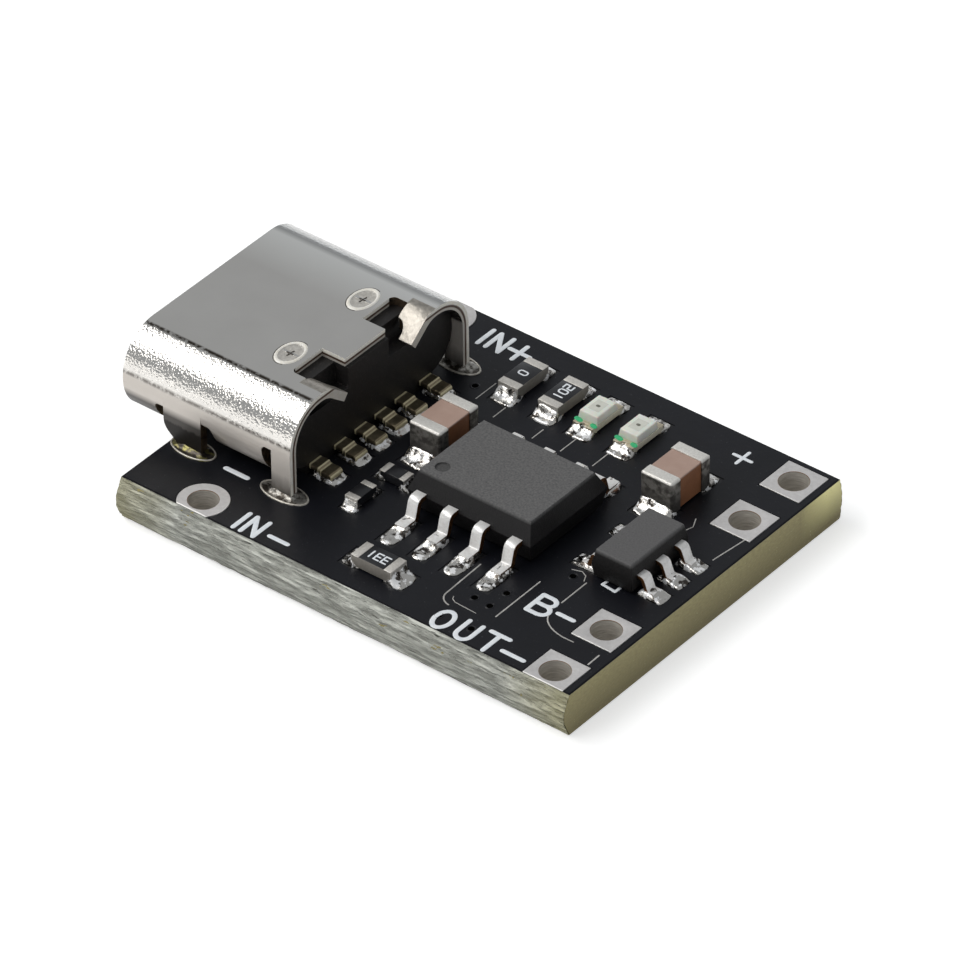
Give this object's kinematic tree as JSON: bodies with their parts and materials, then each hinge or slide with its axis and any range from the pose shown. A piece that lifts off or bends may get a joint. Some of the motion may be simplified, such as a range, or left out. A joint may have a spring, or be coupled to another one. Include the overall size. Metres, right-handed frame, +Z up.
{
  "type": "lithium battery charger module",
  "caption": "Small charging board with a reversible power socket, charger and protection chips, two indicator lamps and plated wire terminals.",
  "frame": {"origin": "middle of the board's underside", "axes": "+X along the board from the socket to the output terminals, +Z up from the underside"},
  "size_m": [0.0197, 0.0142, 0.0048],
  "materials": {
    "board_core": "sawn and snapped glass epoxy",
    "solder_mask": "black, satin",
    "plated_copper": "pale plating over copper",
    "nickel_shell": "bright nickel plate on rolled sheet",
    "contact_metal": "gold-plated strip",
    "midplate_steel": "plain stamped steel",
    "connector_plastic": "black moulding",
    "tinned_lead": "satin tin plate",
    "chip_moulding": "fine-grained dark moulding",
    "capacitor_ceramic": "brown, satin",
    "cap_metal": "grainy tin plate",
    "resistor_coat": "black glaze over white ceramic",
    "lamp_base": "pale laminate",
    "lamp_contact": "gold plate",
    "lamp_lens": "clear moulded resin",
    "solder": "bright solder"
  },
  "bodies": {
    "root": {"battery_capacitor_block": "capacitor_ceramic", "battery_capacitor_caps": "cap_metal", "board_terminal_battery_minus": "plated_copper", "board_terminal_battery_plus": "plated_copper", "board_terminal_in_minus": "plated_copper", "board_terminal_in_plus": "plated_copper", "board_terminal_out_minus": "plated_copper", "board_terminal_out_plus": "plated_copper", "charger_chip_body": "chip_moulding", "charger_chip_lead_1": "tinned_lead", "charger_chip_lead_2": "tinned_lead", "charger_chip_lead_3": "tinned_lead", "charger_chip_lead_4": "tinned_lead", "charger_chip_lead_5": "tinned_lead", "charger_chip_lead_6": "tinned_lead", "charger_chip_lead_7": "tinned_lead", "charger_chip_lead_8": "tinned_lead", "charger_chip_solder": "solder", "charging_lamp_base": "lamp_base", "charging_lamp_contacts": "lamp_contact", "charging_lamp_lens": "lamp_lens", "chip_solder": "solder", "circuit_board": "board_core", "connector_contact_1": "contact_metal", "connector_contact_2": "contact_metal", "connector_contact_3": "contact_metal", "connector_contact_4": "contact_metal", "connector_contact_5": "contact_metal", "connector_contact_6": "contact_metal", "connector_housing": "connector_plastic", "connector_leg_solder": "solder", "connector_midplate": "midplate_steel", "connector_shell": "nickel_shell", "contact_solder": "solder", "current_resistor_caps": "cap_metal", "current_resistor_chip": "resistor_coat", "input_capacitor_block": "capacitor_ceramic", "input_capacitor_caps": "cap_metal", "lamp_resistor_1_caps": "cap_metal", "lamp_resistor_1_chip": "resistor_coat", "lamp_resistor_2_caps": "cap_metal", "lamp_resistor_2_chip": "resistor_coat", "protection_chip_body": "chip_moulding", "protection_chip_lead_1": "tinned_lead", "protection_chip_lead_2": "tinned_lead", "protection_chip_lead_3": "tinned_lead", "protection_chip_lead_4": "tinned_lead", "protection_chip_lead_5": "tinned_lead", "protection_chip_solder": "solder", "setting_resistor_1_caps": "cap_metal", "setting_resistor_1_chip": "resistor_coat", "setting_resistor_2_caps": "cap_metal", "setting_resistor_2_chip": "resistor_coat", "solder_mask_bottom": "solder_mask", "solder_mask_top": "solder_mask", "standby_lamp_base": "lamp_base", "standby_lamp_contacts": "lamp_contact", "standby_lamp_lens": "lamp_lens"}
  },
  "joints": []
}
